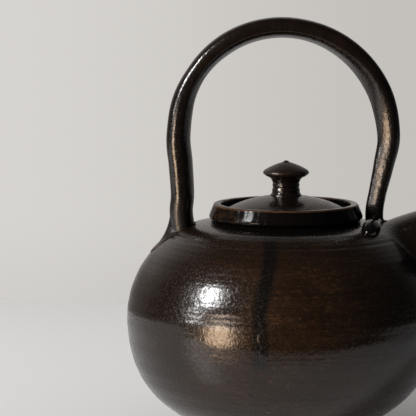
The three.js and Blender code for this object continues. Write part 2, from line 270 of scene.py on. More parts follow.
# %% The spout's middle line
SPOUT_START = Vector((50, 0, 73.8))
SPOUT_BEND = Vector((76, 0, 92))
SPOUT_END = Vector((104, 0, 117.4))
SPOUT_STATIONS = 40
ROOT_STATION = 8
SPOUT_LINE = evenly(
    list(interpolate_bezier(
        SPOUT_START, SPOUT_START.lerp(SPOUT_BEND, 2 / 3), SPOUT_END.lerp(SPOUT_BEND, 2 / 3),
        SPOUT_END, 160)),
    SPOUT_STATIONS)
SPOUT_ROOT = SPOUT_LINE[ROOT_STATION]
SPOUT_DIRECTION = (SPOUT_LINE[ROOT_STATION + 1] - SPOUT_LINE[ROOT_STATION - 1]).normalized()
print("spout leaves the belly near", [round(value, 1) for value in SPOUT_ROOT])

# %% [markdown]
# The belly is two arcs that meet at its widest ring. Faint throwing lines are added to the arcs as a
# small wave in the radius, and a shallow groove runs round the shoulder. They could be bumps in the
# glaze, but the window's reflection breaks on real ones. The wall is about 4.5 mm thick. Two small
# faults make it a real pot: the shoulder is pressed down a little against the collar, and the lower
# half has sunk to the left.

# %% Belly
BELLY_RADIUS = 74.8
WIDEST_HEIGHT = 56
UPPER_ARC = 47
LOWER_ARC = 52
WALL = 4.5
GAP = 0.3
FOOT_HEIGHT = 7
FLOOR_HEIGHT = 12
FLOOR_CORNER = 6
CHAMBER_TOP = 98
SHOULDER_TOP = 102.1
NECK_RADIUS = 34.6
NECK_HOLLOW = 0.14
HOLLOW_REACH = 47.5
HOLLOW_EASE = 2
MOUTH_RADIUS = 30.5
ROOT_HOLE_RADIUS = 13.5
WIDE_WAVE = 0.05
FINE_WAVE = 0.03
WAVE_INSET = 0.06
GROOVE_HEIGHT = 95.1
GROOVE_DEPTH = 0.3
GROOVE_WIDTH = 0.35
SAG = 2
SAG_TOP = 53
SAG_HEIGHT = 36


def arc_point(angle, margin):
    """A point of radius and height on the belly's outline, moved outwards by a margin."""
    arc = UPPER_ARC if angle > 0 else LOWER_ARC
    reach = arc + margin
    return BELLY_RADIUS - arc + reach * math.cos(angle), WIDEST_HEIGHT + reach * math.sin(angle)


def throwing_wave(height):
    """The small in and out that the potter's fingers leave, and the groove on the shoulder."""
    wide = math.sin(height * 0.74 + 0.6 * math.sin(height * 0.21))
    fine = math.sin(height * 2.9 + 1.7 * math.sin(height * 0.33))
    groove = math.exp(-((height - GROOVE_HEIGHT) / GROOVE_WIDTH) ** 2)
    return WIDE_WAVE * wide + FINE_WAVE * fine - WAVE_INSET - GROOVE_DEPTH * groove


def neck_hollow(radius):
    """How far the shoulder is pressed down towards the collar, where the joint was smoothed."""
    inwards = max(HOLLOW_REACH - radius, 0)
    return NECK_HOLLOW * inwards * inwards / (inwards + HOLLOW_EASE)


def belly_outline():
    points = [(0, FOOT_HEIGHT + GAP)]
    steps = 150
    start = -math.asin((WIDEST_HEIGHT - FOOT_HEIGHT - GAP) / LOWER_ARC)
    end = math.asin((SHOULDER_TOP - WIDEST_HEIGHT) / UPPER_ARC)
    for step in range(steps + 1):
        angle = start + (end - start) * step / steps
        height = arc_point(angle, 0)[1]
        wave = throwing_wave(height) if 1 < step < steps - 1 else 0
        radius, height = arc_point(angle, wave)
        if angle > 0:
            height -= neck_hollow(radius)
        points.append((radius, height))
    points += [(NECK_RADIUS, SHOULDER_TOP), (MOUTH_RADIUS, SHOULDER_TOP)]
    points.append((MOUTH_RADIUS, CHAMBER_TOP + 0.8))
    inside_steps = 24
    start = math.asin((CHAMBER_TOP - WIDEST_HEIGHT) / (UPPER_ARC - WALL))
    end = -math.asin((WIDEST_HEIGHT - FLOOR_HEIGHT - 1) / (LOWER_ARC - WALL))
    for step in range(inside_steps + 1):
        points.append(arc_point(start + (end - start) * step / inside_steps, -WALL))
    points += [(points[-1][0] - FLOOR_CORNER, FLOOR_HEIGHT), (0, FLOOR_HEIGHT)]
    return points


def belly_blank(margin):
    """The belly with no hollow, a margin larger, to cut what stands on it."""
    steps = 60
    lowest, highest = math.radians(-70), math.radians(78)
    angles = [lowest + (highest - lowest) * step / steps for step in range(steps + 1)]
    points = [arc_point(angle, margin) for angle in angles]
    return throw("belly_blank", [(0, points[0][1]), *points, (0, points[-1][1])])


def sag(piece):
    """The heavy lower half has sunk a little to the left in the kiln."""
    for point in piece.data.vertices:
        share = min(max((SAG_TOP - point.co.z / MM) / SAG_HEIGHT, 0), 1)
        point.co.x -= SAG * MM * share * share * (3 - 2 * share)


belly = throw("belly_glazed", belly_outline(), segments=192)
sag(belly)
drill(belly, SPOUT_ROOT, SPOUT_DIRECTION, ROOT_HOLE_RADIUS)
finish_piece(belly, "pot", "bronze_glaze", "belly")

# %% [markdown]
# Down the front of the belly a run of black glaze has flowed from the shoulder and stopped in a thick
# drop. The drop is a flat tube that is sunk into the wall, so that only its back stands out and catches
# the light. The thin part of the run above it lies flush, so it is only a colour of the glaze.

# %% Glaze run
RUN_PATH = [(70, -12.6), (65, -13.2), (59, -13.1), (54, -12.3), (49, -12.7), (45.5, -14.2)]
RUN_SWELL = [0.15, 0.7, 1, 0.95, 1, 0.5]
RUN_WIDTH = 5
RUN_THICKNESS = 0.6
RUN_SINK = -0.24
RUN_TURN = -16


def arc_at(height):
    """The radius of the belly's arc at a height."""
    return UPPER_ARC if height > WIDEST_HEIGHT else LOWER_ARC


def belly_radius(height, margin):
    """The belly's radius at a height, moved outwards by a margin."""
    arc = arc_at(height)
    reach = arc + margin
    rise = height - WIDEST_HEIGHT
    return BELLY_RADIUS - arc + math.sqrt(max(reach * reach - rise * rise, 0))


def on_front(height, x, margin):
    """A place on the front of the belly."""
    return Vector((x, -math.sqrt(belly_radius(height, margin) ** 2 - x * x), height))


run_line = smooth_line([on_front(height, x, RUN_SINK) for height, x in RUN_PATH], 60)
run = pull("glaze_run", run_line, RUN_SWELL, oval(RUN_WIDTH, RUN_THICKNESS), (RUN_TURN, RUN_TURN))
finish_piece(run, "pot", "black_glaze", angle=60)

# %% [markdown]
# The foot is bare clay, turned when the pot was leather-hard. The lower edge is bevelled so that it
# doesn't chip. A spun outline gives the bevel and the turned face at once.

# %% Foot
FOOT_RADIUS = 40


def foot_outline():
    return [
        (0, 0), (FOOT_RADIUS - 1.6, 0), (FOOT_RADIUS - 0.6, 0.5), (FOOT_RADIUS - 0.1, 1.5),
        (FOOT_RADIUS, 3), (FOOT_RADIUS - 0.15, FOOT_HEIGHT - 0.6), (FOOT_RADIUS - 0.5, FOOT_HEIGHT),
        (0, FOOT_HEIGHT),
    ]


foot = throw("foot_turned", foot_outline(), segments=128)
finish_piece(foot, "pot", "bare_clay", "foot")

# %% [markdown]
# The collar leans inwards. Its lower edge is round, and its rim is narrow and flat. The outline has few
# corners, and a subdivision rounds them, as a melted glaze does. The gallery is the ledge inside the
# collar that the lid sits on.

# %% Collar and gallery
COLLAR_BOTTOM = SHOULDER_TOP + GAP
COLLAR_BASE = 36.2
COLLAR_RIM = 34
COLLAR_TOP = 109.8
LEDGE_HEIGHT = 104.8
LEDGE_BORE = 25


def collar_outline():
    bottom = COLLAR_BOTTOM
    top = COLLAR_TOP
    inside = MOUTH_RADIUS - 0.1
    return [
        (inside, bottom), (inside + 2, bottom), (NECK_RADIUS, bottom), (COLLAR_BASE - 0.5, bottom + 0.3),
        (COLLAR_BASE, bottom + 1.3), (COLLAR_BASE - 0.35, bottom + 2.5),
        (COLLAR_BASE - 0.9, bottom + 3.8), (COLLAR_RIM + 0.15, top - 0.9),
        (COLLAR_RIM, top - 0.35), (COLLAR_RIM - 0.5, top),
        (inside + 1.6, top), (inside + 0.5, top - 0.05), (inside, top - 0.6), (inside, top - 3),
        (inside, bottom),
    ]


def gallery_outline():
    outside = MOUTH_RADIUS - 0.4
    return [
        (LEDGE_BORE, 101.3), (outside, 99.8), (outside, LEDGE_HEIGHT), (LEDGE_BORE + 1.2, LEDGE_HEIGHT),
        (LEDGE_BORE + 0.3, LEDGE_HEIGHT - 0.25), (LEDGE_BORE, LEDGE_HEIGHT - 1), (LEDGE_BORE, 101.3),
    ]


collar = throw("collar_glazed", collar_outline(), segments=96)
soften(collar)
finish_piece(collar, "pot", "black_glaze", "collar", angle=60)
gallery = throw("gallery_glazed", gallery_outline(), segments=128)
finish_piece(gallery, "pot", "bronze_glaze", "lid_gallery")

# %% [markdown]
# The lid is a shallow dome with a ring under it, and a small vent hole lets air in as the tea runs out.
# The flange is left bare, because a glazed flange would stick to the pot in the kiln. The hole is cut
# with a round tool, because the dome's rings have no edges where it lies.

# %% Lid plate and flange
LID_RADIUS = 28.5
LID_TOP = 113.8
LID_DOME = 62
LID_WALL = 4.2
FLANGE_RADIUS = 23
FLANGE_BORE = 19.5
VENT_OFFSET = 13.5
VENT_RADIUS = 1.8
STEM_RADIUS = 7.3


def dome_height(radius, drop=0.0):
    return LID_TOP - drop - LID_DOME + math.sqrt(LID_DOME * LID_DOME - radius * radius)


def lid_outline():
    underside = LEDGE_HEIGHT + GAP
    points = [(0, dome_height(9, LID_WALL)), (9, dome_height(9, LID_WALL)), (14, dome_height(14, LID_WALL))]
    points += [(FLANGE_BORE - 0.5, underside + 1), (FLANGE_BORE + 0.3, underside)]
    points += [(LID_RADIUS - 0.7, underside), (LID_RADIUS - 0.1, underside + 0.35)]
    points += [(LID_RADIUS, underside + 0.9), (LID_RADIUS - 0.25, underside + 1.4)]
    radii = [27.6, 26.4, 25, 23, 21, 19, 17, 15, 13, 11, 9.4, 8.2]
    points += [(radius, dome_height(radius)) for radius in radii]
    points.append((STEM_RADIUS + 0.3, dome_height(STEM_RADIUS) - 0.02))
    points.append((0, dome_height(STEM_RADIUS + 0.5)))
    return points


def flange_outline():
    bottom = LEDGE_HEIGHT - 9
    return [
        (FLANGE_BORE, bottom + 0.9), (FLANGE_BORE + 0.4, bottom + 0.2), (FLANGE_BORE + 1.3, bottom),
        (FLANGE_RADIUS - 1.6, bottom), (FLANGE_RADIUS - 0.8, bottom + 0.3),
        (FLANGE_RADIUS - 0.5, bottom + 1.2), (FLANGE_RADIUS, LEDGE_HEIGHT), (FLANGE_BORE, LEDGE_HEIGHT),
        (FLANGE_BORE, bottom + 0.9),
    ]


lid_plate = throw("lid_plate_glazed", lid_outline(), segments=160)
drill(lid_plate, Vector((0, VENT_OFFSET, LID_TOP)), Vector((0, 0, 1)), VENT_RADIUS)
finish_piece(lid_plate, "lid", "bronze_glaze", "lid_plate")
flange = throw("lid_flange_bare", flange_outline(), segments=128)
finish_piece(flange, "lid_seat_ring", "bare_clay", "lid_flange")

# %% [markdown]
# The knob is a small mushroom. The stem keeps the rings of the potter's fingertips, so its outline is a
# formula with a wave in it. The cap is a short list of corners, softened, and it ends in a tiny point
# where the clay was twisted off.

# %% Knob
CAP_HEIGHT = 122.4
CAP_RADIUS = 10.85
CAP_TIP = 129.9
WAIST_DEPTH = 0.68
RING_DEPTH = 0.13
RINGS = 4.2
FOOT_FLARE = 0.5
TOP_FLARE = 2.2
TOP_FLARE_START = 0.74


def stem_outline():
    bottom = dome_height(STEM_RADIUS + 0.5)
    top = CAP_HEIGHT + 0.2
    points = [(0, bottom)]
    steps = 26
    for step in range(steps + 1):
        share = step / steps
        waist = WAIST_DEPTH * math.sin(math.pi * share) ** 1.2
        ring = RING_DEPTH * math.sin(share * 2 * math.pi * RINGS)
        flare = FOOT_FLARE * max(1 - share / 0.12, 0)
        radius = min(STEM_RADIUS - 0.35 - waist + ring + flare, STEM_RADIUS)
        radius += TOP_FLARE * max((share - TOP_FLARE_START) / (1 - TOP_FLARE_START), 0) ** 2
        points.append((radius, bottom + (top - bottom) * share))
    points.append((0, top))
    return points


def cap_outline():
    base = CAP_HEIGHT
    return [
        (0, base), (8.4, base), (9.3, base + 0.35), (10.2, base + 0.8), (CAP_RADIUS, base + 1.5),
        (CAP_RADIUS, base + 2.1), (10.3, base + 2.9), (8.6, base + 3.9), (6.6, base + 4.9),
        (4.6, base + 5.75), (3, base + 6.3), (2, base + 6.55), (1.5, base + 6.8), (1, base + 7.2),
        (0.4, CAP_TIP), (0, CAP_TIP),
    ]


stem = throw("knob_stem_glazed", stem_outline(), segments=96)
finish_piece(stem, "lid", "bronze_glaze", "knob_stem", angle=60)
cap = throw("knob_cap_glazed", cap_outline(), segments=72)
soften(cap, levels=1)
finish_piece(cap, "lid", "bronze_glaze", "knob_cap", angle=60)

# %% [markdown]
# The handle was pulled from one strip of clay and bent over the pot while it was soft. It is thickest
# in its left leg and thins towards the foot of the right one. Its section has a slanted flat on the
# inside of the arch, and on the right leg it twists until that flat faces forward. A smooth line through
# a few places gives its crooked legs, and the arch between them is half an ellipse. The swell and the
# turns are values that are spread evenly from the left foot to the right one.

# %% Handle
HANDLE_DEPTH = 13
HANDLE_THICKNESS = 10.5
HANDLE_SQUARENESS = 0.78
HANDLE_LEAN = 0.42
LEFT_LEG = [(-47.4, 96), (-48.7, 105.5), (-48.1, 114), (-48.9, 128)]
RIGHT_LEG = [(45.8, 128), (42.8, 114), (41.5, 105.5), (42, 96)]
ARCH_HALF_WIDTH = 48.9
ARCH_RISE = 49.5
ARCH_X = -1
ARCH_Z = 142
ARCH_SKEW = 1.1
HANDLE_SWELL = [1.12, 1.14, 1.19, 1.14, 0.96, 1.02, 1.01, 1.0, 1.06, 0.99, 0.89, 0.78, 0.64, 0.66]
HANDLE_TURNS = [90, 90, 90, 90, 90, 90, 90, 90, 86, 68, 46, 40, 40, 40]


def handle_line():
    knots = [Vector((x, 0, z)) for x, z in LEFT_LEG]
    arch_points = 8
    for number in range(arch_points + 1):
        angle = math.pi * (1 - number / arch_points)
        x = ARCH_X + ARCH_HALF_WIDTH * math.cos(angle) - ARCH_SKEW * math.sin(angle)
        knots.append(Vector((x, 0, ARCH_Z + ARCH_RISE * math.sin(angle))))
    knots += [Vector((x, 0, z)) for x, z in RIGHT_LEG]
    return smooth_line(knots, 160)


handle_section = oval(HANDLE_THICKNESS, HANDLE_DEPTH, HANDLE_SQUARENESS, HANDLE_LEAN)
handle = pull("handle_pulled", handle_line(), HANDLE_SWELL, handle_section, HANDLE_TURNS)
cut(handle, belly_blank(-0.5))
finish_piece(handle, "pot", "bronze_glaze", "handle", angle=60)

# %% [markdown]
# The spout is a thin cone thrown on the wheel, bent up a little, hollow, and cut to the belly. Its
# section is a circle of radius 1, so the swell is the spout's radius in millimetres. The bore is a
# thinner tube on the same line, made a little longer at both ends so that it opens them.

# %% Spout
SPOUT_WIDE = 25.4
SPOUT_TIP = 7.9
SPOUT_WALL = 3.4
BORE_START = 4


def spout_swell(margin):
    """The spout's radius at each station, changed by a margin."""
    radii = []
    for station in range(SPOUT_STATIONS + 1):
        narrowing = math.cos(math.pi / 2 * station / SPOUT_STATIONS) ** 2
        radii.append(SPOUT_TIP + (SPOUT_WIDE - SPOUT_TIP) * narrowing + margin)
    return radii


SPOUT_RADII = spout_swell(0)
ROUND_SECTION = oval(2, 2)

spout = pull("spout_glazed", SPOUT_LINE, SPOUT_RADII, ROUND_SECTION)
bore_line = [SPOUT_LINE[0] - SPOUT_DIRECTION * BORE_START, *SPOUT_LINE[1:-1]]
bore_line.append(SPOUT_END + (SPOUT_END - SPOUT_LINE[-2]) * 2)
cut(spout, pull("spout_bore", bore_line, spout_swell(-SPOUT_WALL), ROUND_SECTION))
cut(spout, belly_blank(0.05))
finish_piece(spout, "pot", "bronze_glaze", "spout", angle=50)

# %% [markdown]
# Clay was pressed into the corners between the pieces. Each such ring has one section at every turn: a
# hollow curve from one surface to the other. The surfaces are asked where they are, so the clay lies
# on the shoulder, on the spout or on the leg without a step.

# %% Ask the surfaces where they are
def nearest_on_belly(place, margin):
    """The point on the outside of the belly nearest to a place, or at a margin from it."""
    arc = arc_at(place.z)
    radius = math.hypot(place.x, place.y)
    out = Vector((radius - (BELLY_RADIUS - arc), place.z - WIDEST_HEIGHT)).normalized() * (arc + margin)
    reach = (BELLY_RADIUS - arc + out.x) / radius
    return Vector((place.x * reach, place.y * reach, WIDEST_HEIGHT + out.y))


def outside_belly(place):
    """How far a place is outside the belly."""
    arc = arc_at(place.z)
    across = math.hypot(place.x, place.y) - (BELLY_RADIUS - arc)
    return math.hypot(across, place.z - WIDEST_HEIGHT) - arc


def outside_spout(place):
    """How far a place is outside the spout."""
    return min((middle - place).length - radius for middle, radius in zip(SPOUT_LINE, SPOUT_RADII))


def halve(low, high, is_above):
    """The place between low and high where is_above becomes true."""
    for _ in range(20):
        middle = (low + high) / 2
        if is_above(middle):
            high = middle
        else:
            low = middle
    return low


def ground_height(x, y):
    """The height of the shoulder, or of the spout where that stands above it."""
    def in_air(height):
        place = Vector((x, y, height))
        return min(outside_belly(place), outside_spout(place)) > 0
    return halve(WIDEST_HEIGHT, 190, in_air)


def spout_surface(place, angle, margin):
    """A point on the spout, or at a margin from it, at a place along it and an angle round it."""
    station = min(int(place * SPOUT_STATIONS), SPOUT_STATIONS - 1)
    here, after = SPOUT_LINE[station], SPOUT_LINE[station + 1]
    middle = here.lerp(after, place * SPOUT_STATIONS - station)
    sideways = Vector((0, -1, 0))
    upwards = sideways.cross((after - here).normalized())
    radius = between(SPOUT_RADII, place) + margin
    return middle + upwards * (radius * math.cos(angle)) + sideways * (radius * math.sin(angle))


def clay_ring(name, turns, section_at):
    """A ring of clay: a torus whose points are moved to the section at each turn."""
    sections = [section_at(2 * math.pi * number / turns) for number in range(turns)]
    corners = len(sections[0])
    bpy.ops.object.select_all(action="DESELECT")
    bpy.ops.mesh.primitive_torus_add(major_segments=turns, minor_segments=corners)
    ring = bpy.context.object
    ring.name = name
    for number, section in enumerate(sections):
        for corner, point in enumerate(section):
            ring.data.vertices[number * corners + corner].co = point * MM
    bpy.ops.object.mode_set(mode="EDIT")
    close_mesh()
    return ring


def fillet(start, corner, end):
    """The hollow curve from one surface to another."""
    return list(interpolate_bezier(start, start.lerp(corner, 2 / 3), end.lerp(corner, 2 / 3), end, 12))


# %% [markdown]
# A coil of clay was pressed round the spout's root. Its edges lie a hair under the two surfaces that it
# joins, so no seam shows. Where the spout leaves the belly is found by halving, at every turn anew. A
# bevel on a joined mesh could fill the corner too, but then the coil wouldn't be a piece of its own.

# %% Coil at the spout's root
COIL_REACH = 7
COIL_SINK = -0.05
SPOUT_LENGTH = 69.6


def coil_section(angle):
    """The hollow curve over the corner at an angle, and one point buried in the clay behind it."""
    def is_out(place):
        return outside_belly(spout_surface(place, angle, 0)) > 0
    leaves = halve(0, 0.6, is_out)
    corner = spout_surface(leaves, angle, 0)
    middle = between(SPOUT_LINE, leaves)
    away = (corner - middle).normalized() * COIL_REACH
    on_belly = nearest_on_belly(corner + away, COIL_SINK)
    on_spout = spout_surface(leaves + COIL_REACH / SPOUT_LENGTH, angle, COIL_SINK)
    behind = corner.lerp(SPOUT_LINE[0], 0.1)
    return [*fillet(on_belly, corner, on_spout), behind]


coil = clay_ring("spout_coil_glazed", 96, coil_section)
finish_piece(coil, "pot", "black_glaze", "spout_luting_coil", angle=70)

# %% [markdown]
# At its feet the handle was smeared down onto the shoulder. The clay hugs the leg on its inner side. On
# its outer side it climbs the leg and reaches away from it, and the left foot has a long tail there. The
# smear could be sculpted, but worked out it meets the shoulder and the leg at every turn.

# %% Smears of clay at the handle's feet
FOOT_SHARE = 1.06
TOP_SHARE = 0.97
BURIED_SHARE = 0.7
FOOT_BURIED = 1.5
LEG_BURIED = 2


def skirt(name, leg_x, half_width, outer_side, reach, climb, tail=0.0, tail_climb=0.0, edge=0.0):
    """The clay round a leg. The outer side is -1 on the left leg and 1 on the right one."""
    half_depth = half_width * HANDLE_DEPTH / HANDLE_THICKNESS

    def section(angle):
        across = math.cos(angle)
        along = math.sin(angle)
        outwards = ((1 + outer_side * across) / 2) ** 4
        towards_tail = max(outer_side * across, 0) ** 6
        reached = reach * outwards + tail * towards_tail

        def leg_point(share, further=0.0):
            x = leg_x + half_width * share * across + further * across
            y = half_depth * share * along + further * along
            return x, y

        corner = Vector((*leg_point(1), 0))
        corner.z = ground_height(corner.x, corner.y) + edge * outwards
        foot = Vector((*leg_point(FOOT_SHARE, reached), 0))
        foot.z = ground_height(foot.x, foot.y) + edge * outwards
        under = Vector((*leg_point(1, reached), 0))
        under.z = ground_height(under.x, under.y) - FOOT_BURIED
        climbed = climb * outwards + tail_climb * towards_tail
        top = Vector((*leg_point(TOP_SHARE), corner.z + climbed))
        behind = Vector((*leg_point(BURIED_SHARE), corner.z - LEG_BURIED))
        return [under, *fillet(foot, corner, top), behind]

    return clay_ring(name, 96, section)


left_foot = skirt(
    "handle_foot_left_smear", leg_x=-48.5, half_width=5.9, outer_side=-1, reach=1.6, climb=3,
    tail=7.4, tail_climb=9, edge=0.6)
finish_piece(left_foot, "pot", "black_glaze", "handle_foot_left", angle=50)

# %% [markdown]
# At the right foot the potter left a lump of spare clay that runs forward from the leg's root. The lump
# is a short fat tube on the shoulder. It is joined to the smear, remeshed in small cubes and smoothed,
# because a plain union would keep a sharp crease where wet clay has none.

# %% Right foot with its spare clay
SPARE_CLAY = [(41.5, -2), (40.8, -11), (38.8, -21), (36, -31.5)]
SPARE_SWELL = [0.9, 0.9, 0.88, 0.84, 0.84, 0.9, 1.0, 1.1, 1.18, 1.2, 1.12, 0.9, 0.3]
SPARE_WIDTH = 7.2
SPARE_RISE = 0.4


def join_clay(piece, other):
    """Makes one lump of two and smooths the crease between them."""
    apply_modifier(piece, "BOOLEAN", operation="UNION", object=other, solver="EXACT")
    bpy.data.objects.remove(other)
    apply_modifier(piece, "REMESH", mode="VOXEL", voxel_size=0.3 * MM)
    apply_modifier(piece, "SMOOTH", factor=0.5, iterations=30)


right_foot = skirt(
    "handle_foot_right_smear", leg_x=41.6, half_width=4.1, outer_side=1, reach=2, climb=3.2)
spare_knots = [Vector((x, y, ground_height(x, y) + SPARE_RISE)) for x, y in SPARE_CLAY]
spare_line = smooth_line(spare_knots, 40)
join_clay(right_foot, pull("spare_clay", spare_line, SPARE_SWELL, oval(SPARE_WIDTH, SPARE_WIDTH)))
finish_piece(right_foot, "pot", "black_glaze", "handle_foot_right", angle=60)

# %% [markdown]
# Shader maths reads best as sums. A Term holds one output socket, and adding or multiplying terms
# adds the Math nodes for it. Every other node comes from one method.

# %% Write shader maths as sums
class Term:
    """A value in a material. Sums, differences and products of terms add Math nodes."""

    def __init__(self, finish, socket):
        self.finish = finish
        self.socket = socket

    def combine(self, operation, first, second):
        return self.finish.node("ShaderNodeMath", {"operation": operation}, {0: first, 1: second})

    def __add__(self, other):
        return self.combine("ADD", self, other)

    def __radd__(self, other):
        return self.combine("ADD", other, self)

    def __sub__(self, other):
        return self.combine("SUBTRACT", self, other)

    def __rsub__(self, other):
        return self.combine("SUBTRACT", other, self)

    def __mul__(self, other):
        return self.combine("MULTIPLY", self, other)

    def __rmul__(self, other):
        return self.combine("MULTIPLY", other, self)

    def __abs__(self):
        return self.combine("ABSOLUTE", self, 0)


class Finish:
    """The nodes of a material, or of the world, made by one method."""

    def __init__(self, owner):
        owner.use_nodes = True
        self.owner = owner
        self.tree = owner.node_tree
        self.tree.nodes.clear()

    def node(self, kind, settings=None, values=None, output=0):
        made = self.tree.nodes.new(kind)
        for name, value in (settings or {}).items():
            setattr(made, name, value)
        for key, value in (values or {}).items():
            if isinstance(value, Term):
                self.tree.links.new(value.socket, made.inputs[key])
            else:
                made.inputs[key].default_value = value
        return Term(self, made.outputs[output] if made.outputs else None)

    def place(self):
        """The place on the pot in millimetres."""
        metres = self.node("ShaderNodeTexCoord", output="Object")
        return self.node("ShaderNodeMapping", None, {"Vector": metres, "Scale": (1000, 1000, 1000)})

    def axis(self, vector, name):
        return self.node("ShaderNodeSeparateXYZ", None, {"Vector": vector}, output=name)

    def noise(self, size, detail=3.0, stretch=(1, 1, 1), roughness=0.5):
        """Soft random spots about this many millimetres across, from 0 to 1."""
        vector = self.node("ShaderNodeMapping", None, {"Vector": self.place(), "Scale": stretch})
        values = {"Vector": vector, "Scale": 1 / size, "Detail": detail, "Roughness": roughness}
        return self.node("ShaderNodeTexNoise", None, values)

    def step(self, value, low, high):
        """0 below low, 1 above high, and smooth between."""
        values = {"Value": value, "From Min": low, "From Max": high}
        return self.node("ShaderNodeMapRange", {"interpolation_type": "SMOOTHSTEP"}, values)

    def specks(self):
        """Small dull spots in the gloss. They make the wide, grainy glow round each highlight."""
        return self.step(self.noise(0.9, detail=3, roughness=0.7), 0.5, 0.62)

    def near(self, middle, reach):
        """1 at a point of the pot, falling to 0 at a distance from it."""
        settings = {"operation": "DISTANCE"}
        away = self.node("ShaderNodeVectorMath", settings, {0: self.place(), 1: middle}, output="Value")
        return 1 - self.step(away, 0, reach)

    def mix(self, share, first, second):
        """One colour where share is 0, and the other where it is 1."""
        settings = {"data_type": "RGBA"}
        return self.node("ShaderNodeMix", settings, {0: share, 6: first, 7: second}, output=2)

    def surface(self, constants, values, bump=None, depth=0.1):
        """The shader. depth is the bump's height in millimetres."""
        values = {**constants, **values}
        if bump is not None:
            values["Normal"] = self.node(
                "ShaderNodeBump", None, {"Height": bump, "Distance": depth * MM, "Strength": 1.0})
        shader = self.node("ShaderNodeBsdfPrincipled", None, values)
        self.node("ShaderNodeOutputMaterial", None, {"Surface": shader})
        return self.owner


# %% [markdown]
# The glaze is full of iron. It is a deep brown under a clear gloss, and it goes black where it lies
# thick in the run down the front. The black in the corner under the collar and by the spout's root is
# painted shade, and a painted dark reflection of the collar lies in the shoulder too. The belly also goes
# dark towards both sides and the top, which is partly painted shade away from the window. Each of these
# is a mask from 0 to 1, worked out from the place on the pot. A painted picture could hold them too, but
# a formula stays sharp at every size.

# %% Colours, where the glaze lies thick, and painted shade
BROWN = (0.0185, 0.0093, 0.0044, 1)
DEEP_BROWN = (0.0100, 0.0052, 0.0026, 1)
DARK_GLAZE = (0.0062, 0.0036, 0.0024, 1)
ORANGE_BROWN = (0.085, 0.038, 0.014, 1)
RIM_BROWN = (0.055, 0.030, 0.017, 1)
GLAZE_BLACK = (0.0032, 0.0026, 0.0024, 1)
GOLD_FLECK = (0.22, 0.12, 0.05, 1)


def run_share(finish):
    """1 along the black run down the front of the belly, and 0 away from it."""
    place = finish.place()
    x = finish.axis(place, "X")
    y = finish.axis(place, "Y")
    z = finish.axis(place, "Z")
    drift = finish.noise(9, detail=2) * 1.6
    middle = finish.step(z, 66, 97) * 5.4 - 14
    along = 1 - finish.step(abs(x - middle + drift - 0.8), 1.6, 4.6)
    mottled = 0.86 + 0.14 * finish.step(finish.noise(1.8, detail=3), 0.4, 0.6)
    return along * mottled * finish.step(z, 41, 46) * finish.step(y * -1, 0, 10)


def brown_with_painted_shade(finish):
    """Brown on the belly's front, dark towards both sides and the top: partly painted shade away from the
    window.
    """
    x = finish.axis(finish.place(), "X") + (finish.noise(14, detail=2) - 0.5) * 24
    height = finish.axis(finish.place(), "Z") + (finish.noise(9, detail=3) - 0.5) * 10
    across = finish.step(x, -58, -20) * (1 - finish.step(x, 15, 54))
    return across * (1 - finish.step(height, 80, 96) * 0.6)


def neck_painted_shade(finish):
    """1 in the corner under the collar: painted shade, and on the front a painted dark reflection of the
    collar in the shoulder.
    """
    place = finish.place()
    height = finish.axis(place, "Z") + (finish.noise(5, detail=2) - 0.5) * 0.8
    front = finish.step(height, 98, 99.6) * finish.step(finish.axis(place, "X"), -36, -26)
    return front + finish.step(height, 100.6, 101.2)


print("glaze colours from", GLAZE_BLACK[:3], "to", BROWN[:3])

# %% [markdown]
# The thrown pieces share one glaze. Fine level streaks follow the throwing lines, clouds and rust mottle
# the brown, and the skin is uneven like an orange's. Small dull specks in the gloss make the grainy glow
# round each reflection. The knob's cap is duller than the rest.

# %% Glaze of the thrown pieces
RUST_PATCH = (-61.5, -42, 49)
# Two small black spots under the run, raised a little in the bump.
SPOTS_UNDER_RUN = [((-18.3, -66.4, 31.2), 2.2), ((-9.6, -63, 23.7), 1.8)]
# Middle of a painted shadow, black where the spout's root meets the belly.
SPOUT_ROOT_SHADE = (57, -33, 84)


